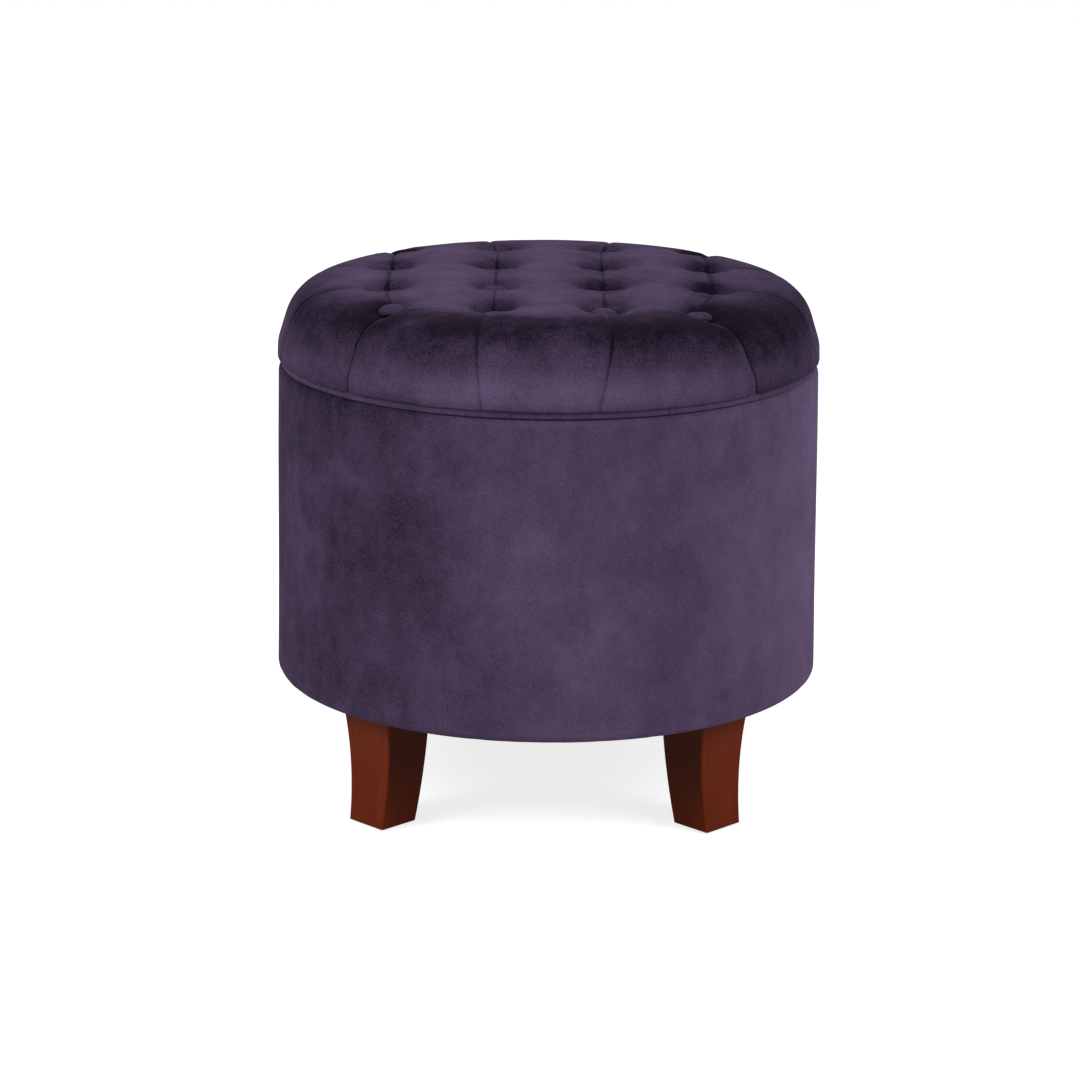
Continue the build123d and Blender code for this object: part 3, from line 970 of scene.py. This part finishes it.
def make_hand_layout():
    """Shapes on the carrier's own points, each turned and tipped by a seeded amount."""
    sockets = {"Shape": "Object", "Material": "Material", "Tip": "Float", "Seed": "Int"}
    tree, given, out = new_layout("Hand set", sockets)
    angles = {"X": given["Tip"], "Y": given["Tip"], "Z": 3.1}
    tip = add_node(tree, "ShaderNodeCombineXYZ", angles).outputs["Vector"]
    back = add_node(tree, "ShaderNodeVectorMath", {0: tip, "Scale": -1.0}, operation="SCALE")
    limits = {"Min": back.outputs["Vector"], "Max": tip, "Seed": given["Seed"]}
    turn = add_node(tree, "FunctionNodeRandomValue", limits, data_type="FLOAT_VECTOR")
    finish_layout(tree, given, out, given["Geometry"], turn.outputs["Value"])
    return tree


def make_ring_layout():
    """A ring of shapes, each turned to its place round the circle with a seeded wobble."""
    sockets = {"Shape": "Object", "Material": "Material", "Radius": "Float"}
    sockets |= {"Count": "Int", "Level": "Float", "Seed": "Int"}
    tree, given, out = new_layout("Ring", sockets)
    ring = {"Vertices": given["Count"], "Radius": given["Radius"]}
    circle = add_node(tree, "GeometryNodeMeshCircle", ring).outputs["Mesh"]
    index = add_node(tree, "GeometryNodeInputIndex").outputs[0]
    limits = {2: -STAPLE_WOBBLE, 3: STAPLE_WOBBLE, "Seed": given["Seed"]}
    wobble = add_node(tree, "FunctionNodeRandomValue", limits, data_type="FLOAT").outputs[1]
    part = math_node(tree, "DIVIDE", index, given["Count"])
    angle = math_node(tree, "ADD", math_node(tree, "MULTIPLY", part, 2 * math.pi), wobble)
    turn, lift = (
        add_node(tree, "ShaderNodeCombineXYZ", {"Z": value}).outputs["Vector"]
        for value in (angle, given["Level"])
    )
    raised = {"Geometry": circle, "Offset": lift}
    points = add_node(tree, "GeometryNodeSetPosition", raised).outputs["Geometry"]
    finish_layout(tree, given, out, points, turn)
    return tree


HAND = make_hand_layout()
RING = make_ring_layout()
print("layout trees:", HAND.name, RING.name)

# %% [markdown]
# ## Covered buttons
# A covered button is a shallow dome with cloth drawn over it, so its edge is soft and slightly
# gathered. One is turned from a short section, and the layout tree sets out sixteen of it.

# %% Buttons
def make_button():
    """One covered button: flat below, domed above, its edge drawn in slightly."""
    section = rounded(
        [
            (1 * MM, 0),
            (10.5 * MM, 0),
            (BUTTON_RADIUS, 2.5 * MM),
            (8.5 * MM, 6 * MM),
            (1 * MM, 7 * MM),
        ],
        [1.2 * MM, 2.2 * MM, 9 * MM],
        steps=6,
    )

    def drawn(angle, row):
        return 0.12 * MM * math.sin(11 * angle) * (6 < row < 16), 0

    return turned("button_pattern", section, around(32), drawn, first_cap=True, last_cap=True)


button_pattern = make_button()
button_places = [
    (*hand_set(x, y), SEAT_LEVEL + TUFT_RISE[i, j] + dome(math.hypot(x, y)) + 0.2 * MM)
    for i, x in enumerate(TUFT_LINES)
    for j, y in enumerate(TUFT_LINES)
]
values = {"Shape": button_pattern, "Material": VELVET_BUTTON, "Tip": 0.09, "Seed": 4}
buttons = laid_out("tuft_button_covers", HAND, values, button_places)
bpy.data.objects.remove(button_pattern)
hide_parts("tuft_buttons")
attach(buttons, "lid")
print(f"buttons: {len(buttons.data.polygons)} faces")

# %% [markdown]
# ## Lid band and lining
# A strip of the same velvet is wrapped round the lid's base board and turned under it. Its ends
# meet in a small upright joint a little to the right of the front. Inside it, black lining closes
# the underside of the lid.

# %% Lid band
BAND_LOW = low("lid_band").z
BAND_TOP = high("lid_band").z + 0.3 * MM
BAND_TURN_IN = BAND_RADIUS - 34 * MM
BAND_JOINT = math.radians(-90 + 25)

band_section = rounded(
    [
        (BAND_TURN_IN, BAND_LOW),
        (BAND_RADIUS, BAND_LOW),
        (BAND_RADIUS, BAND_TOP),
        (BAND_RADIUS - 7 * MM, BAND_TOP),
    ],
    [1.6 * MM, 1.2 * MM],
    steps=7,
    gap=2.2 * MM,
)


def band_sway(angle, row):
    """Slight slackness, and the step where one end of the strip laps over the other."""
    radius, height = band_section[row]
    outer = clamped((radius - BAND_RADIUS + 6 * MM) / (4 * MM))
    off = from_seam(angle, BAND_JOINT)
    lap = 0.9 * MM * bell(off - 0.008, 0.008) - 0.7 * MM * bell(off, 0.003)
    slack = 0.25 * MM * ripple(angle, 3, height * 40, 0.6)
    return (lap + slack) * outer, 0


band = turned("lid_velvet_band", band_section, around(480, BAND_JOINT), band_sway)
thicken(band, 1.0 * MM, VELVET_PLAIN)
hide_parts("lid_band")
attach(band, "lid")


# %% Lid lining
def flat_lining(name, radius, level, looseness):
    """A round piece of lining, pulled flat, with a slight looseness between its staples."""
    radii = np.linspace(2 * MM, radius, 40)

    def slack(angle, row):
        return 0, looseness * ripple(angle, radii[row], 0.3, 0.07) * (1 - (radii[row] / radius) ** 6)

    return turned(name, [(r, level) for r in radii], around(160), slack, first_cap=True)


LID_LINING_RADIUS = high("lid_lining").x
lid_lining = flat_lining("lid_under_lining", LID_LINING_RADIUS, low("lid_lining").z, 0.3 * MM)
thicken(lid_lining, 0.6 * MM, LINING)
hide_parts("lid_lining")
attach(lid_lining, "lid")
print(f"lid lining {2 * LID_LINING_RADIUS / MM:.0f} mm across")

# %% [markdown]
# ## Velvet barrel
# One sleeve of velvet is pulled over the padded wall, over the rim into the mouth, and under the
# bottom board. Its section is turned in one go. Small uneven waves keep it from looking machined,
# and an upright seam at the back closes the sleeve.

# %% Barrel cover
RIM_ROUND = 7 * MM
FOOT_ROUND = 8 * MM
FLARE = 1.6 * MM
UNDER_TURN_IN = BARREL_RADIUS - 74 * MM
SEAM_ANGLE = math.radians(90)

barrel_section = rounded(
    [
        (UNDER_TURN_IN, HEM_UNDER),
        (BARREL_RADIUS, HEM_UNDER),
        (BARREL_RADIUS, RIM_LEVEL),
        (MOUTH_RADIUS, RIM_LEVEL),
        (MOUTH_RADIUS, RING_LEVEL),
    ],
    [FOOT_ROUND, RIM_ROUND, 2 * MM],
    steps=8,
    gap=5 * MM,
)


def barrel_sway(angle, row):
    """Soft padding that settles towards the foot, tiny puckers there and a narrow seam at the back."""
    radius, height = barrel_section[row]
    outside = clamped((radius - BARREL_RADIUS + 8 * MM) / (6 * MM))
    padding = 0.5 * MM * (ripple(angle, 1, height * 4, 0.5) - 1)
    flare = FLARE * (1 - 2 * (height - HEM_UNDER) / (RIM_LEVEL - HEM_UNDER))
    puckers = 0.4 * MM * bell(height - HEM_UNDER, 22 * MM) * ripple(angle, 4, height, 0.28)
    seam = -1.1 * MM * bell(from_seam(angle, SEAM_ANGLE), 0.0045)
    under = 0.4 * MM * ripple(angle, 6, radius * 3, 0.3) if height < HEM_UNDER + 1 * MM else 0
    return (padding + flare + puckers + seam) * outside, max(under, 0)


barrel = turned("barrel_velvet", barrel_section, around(330, SEAM_ANGLE), barrel_sway)
print(f"barrel cover: {len(barrel.data.polygons)} faces")

# %% Brushed tone of the barrel, with painted sheen and painted shade
BARREL_TONE = 0.50
STREAK_ANGLE = -1.60
STREAK_WIDTH = 0.25


def brush_and_shade_barrel(piece):
    """Tone round the barrel: pile brushed paler on one side, painted sheen at the foot and towards the
    right side, painted shade just under the lid.
    """
    values = []
    for vertex in piece.data.vertices:
        x, y, z = vertex.co
        angle = math.atan2(y, x)
        up = (z - HEM_UNDER) / (RIM_LEVEL - HEM_UNDER)
        patch = ripple(angle, 2, z * 5, 0.7)
        side = math.cos(angle)
        front = bell(angle - STREAK_ANGLE, STREAK_WIDTH)
        # The last term is painted sheen, growing towards the barrel's right side.
        across = 0.20 * side + 0.12 * (up - 0.5) * side + 0.16 * max(0, side) ** 4
        streak = 0.09 * front * (0.1 + 1.45 * up) + 0.03 * math.tanh((side + 0.47) / 0.05)
        # Painted sheen on the foot's rounded edge, and painted shade just under the lid.
        edges = 0.13 * math.exp(-up / 0.03) - 0.14 * math.exp(-((1 - up) / 0.06))
        values.append(BARREL_TONE + across + streak + edges + 0.12 * patch)
    set_tone(piece, values)


brush_and_shade_barrel(barrel)
thicken(barrel, 1.2 * MM, VELVET_BRUSHED)
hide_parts("body_cover", "wall_padding")
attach(barrel, "base")

# %% [markdown]
# ## Lining of the store and dust cover
# Black non-woven lining goes up the inside wall and under the top ring. A second round of it closes
# the bottom, between the legs, and is held by a row of staples.

# %% Store lining
LINING_RADIUS = INSIDE_RADIUS - 0.9 * MM
LINING_TOP = RING_LEVEL - 0.8 * MM
lining_section = rounded(
    [
        (LINING_RADIUS, FLOOR_LEVEL),
        (LINING_RADIUS, LINING_TOP),
        (MOUTH_RADIUS + 1.6 * MM, LINING_TOP),
    ],
    [3 * MM],
    steps=6,
    gap=5 * MM,
)


def lining_sway(angle, row):
    """Shallow upright folds, and a lapped joint at the back."""
    radius, height = lining_section[row]
    inner = 1 if radius > INSIDE_RADIUS - 2 * MM else 0
    loose = math.sin(math.pi * min(1, (height - FLOOR_LEVEL) / (RING_LEVEL - FLOOR_LEVEL)))
    fold = ripple(angle, 4, height * 1.5, 0.35)
    lap = 0.8 * MM * bell(from_seam(angle, SEAM_ANGLE), 0.01)
    return -(1.4 * MM * max(fold, 0) * loose + lap) * inner, 0


store_lining = turned("store_lining", lining_section, around(240, SEAM_ANGLE), lining_sway)
thicken(store_lining, 0.5 * MM, LINING)
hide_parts("wall_lining")
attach(store_lining, "base")

# %% Dust cover
DUST_RADIUS = high("dust_cover").x
DUST_LEVEL = low("dust_cover").z
dust_cover = flat_lining("under_dust_cover", DUST_RADIUS, DUST_LEVEL + 0.05 * MM, 0.35 * MM)
thicken(dust_cover, 0.5 * MM, LINING)
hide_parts("dust_cover")
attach(dust_cover, "base")


# %% Staples
def make_staple():
    """One staple crown seen from below: a short bent wire, running along Y."""
    wire, half, drop = 0.5 * MM, 5 * MM, 1.2 * MM
    left = [(-half, drop), (-half, 0), (-half + wire, -wire)]
    path = left + [(-y, z) for y, z in reversed(left)]
    points, faces = [], []
    for y, z in path:
        for k in range(6):
            turn = k * math.pi / 3
            points.append((wire * math.cos(turn), y, z + wire * 0.6 * math.sin(turn)))
    for ring in range(len(path) - 1):
        for k in range(6):
            here, there = ring * 6 + k, ring * 6 + (k + 1) % 6
            faces.append((here, here + 6, there + 6, there))
    faces += [tuple(range(6)), tuple(len(points) - 1 - k for k in range(6))]
    return new_piece("staple_pattern", points, faces)


staple_pattern = make_staple()
staple_rows = {
    "dust_cover_staples": (DUST_RADIUS - 6 * MM, 44, DUST_LEVEL, 3, "base"),
    "lid_lining_staples": (LID_LINING_RADIUS - 4 * MM, 36, low("lid_lining").z, 5, "lid"),
    "store_lining_staples": (MOUTH_RADIUS + 8 * MM, 36, RING_LEVEL - 0.9 * MM, 8, "base"),
}
for name, (radius, count, level, seed, body) in staple_rows.items():
    values = {"Shape": staple_pattern, "Material": ZINC, "Radius": radius}
    values |= {"Count": count, "Level": level, "Seed": seed}
    staples = laid_out(name, RING, values)
    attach(staples, body)
    print(f"{name}: {count} staples")
bpy.data.objects.remove(staple_pattern)

# %% [markdown]
# ## Floor and light
# A pale floor runs up into a white surround. Two broad lamps stand high on either side, the left
# one a little stronger, because both legs are lit on their outer faces. A weak lamp hangs above.

# %% Stage
AMBIENT = 0.25
FLOOR_GLOW = 0.79
FLOOR_SIZE = 30.0


def shown_surround(tree):
    """One for the rays that see the surround itself: direct, in a gloss or through glass."""
    path = add_node(tree, "ShaderNodeLightPath").outputs
    seen = math_node(tree, "MAXIMUM", path["Is Camera Ray"], path["Is Glossy Ray"])
    return math_node(tree, "MAXIMUM", seen, path["Is Transmission Ray"])


def make_stage_material():
    """Pale floor that shows near white to the camera and keeps the soft shadow."""
    material, tree, shader = new_material("pale floor", 0.9)
    glow = math_node(tree, "MULTIPLY", shown_surround(tree), FLOOR_GLOW)
    light = {"Emission Color": (1, 1, 1, 1), "Emission Strength": glow}
    feed(tree, shader, {"Base Color": (0.55, 0.55, 0.55, 1), **light})
    return material


half = FLOOR_SIZE / 2
corners = [(-half, -half, 0), (half, -half, 0), (half, half, 0), (-half, half, 0)]
floor = new_piece("studio_floor", corners, [(0, 1, 2, 3)])
floor.data.materials.append(make_stage_material())

world = bpy.data.worlds.new("studio")
scene.world = world
world.use_nodes = True
sky = world.node_tree
white = math_node(sky, "MULTIPLY", shown_surround(sky), 1 - AMBIENT)
strength = math_node(sky, "ADD", white, AMBIENT)
feed(sky, sky.nodes["Background"], {"Color": (1, 1, 1, 1), "Strength": strength})

# %% Lamps
def lamp(name, place, aim, size, watts):
    data = bpy.data.lights.new(name, "AREA")
    data.shape = "DISK"
    data.size = size
    data.energy = watts
    made = bpy.data.objects.new(name, data)
    made.location = place
    made.rotation_euler = (Vector(aim) - Vector(place)).to_track_quat("-Z", "Y").to_euler()
    scene.collection.objects.link(made)


lamp("right_lamp", (2.3, -1.5, 2.2), aim=(0, 0, 0.25), size=1.5, watts=53)
lamp("left_lamp", (-2.3, -1.5, 2.2), aim=(0, 0, 0.25), size=1.5, watts=66)
lamp("top_lamp", (0.0, 0.2, 2.7), aim=(0, 0, 0.3), size=2.0, watts=14)
print("lamps: a soft one on each side and one above")
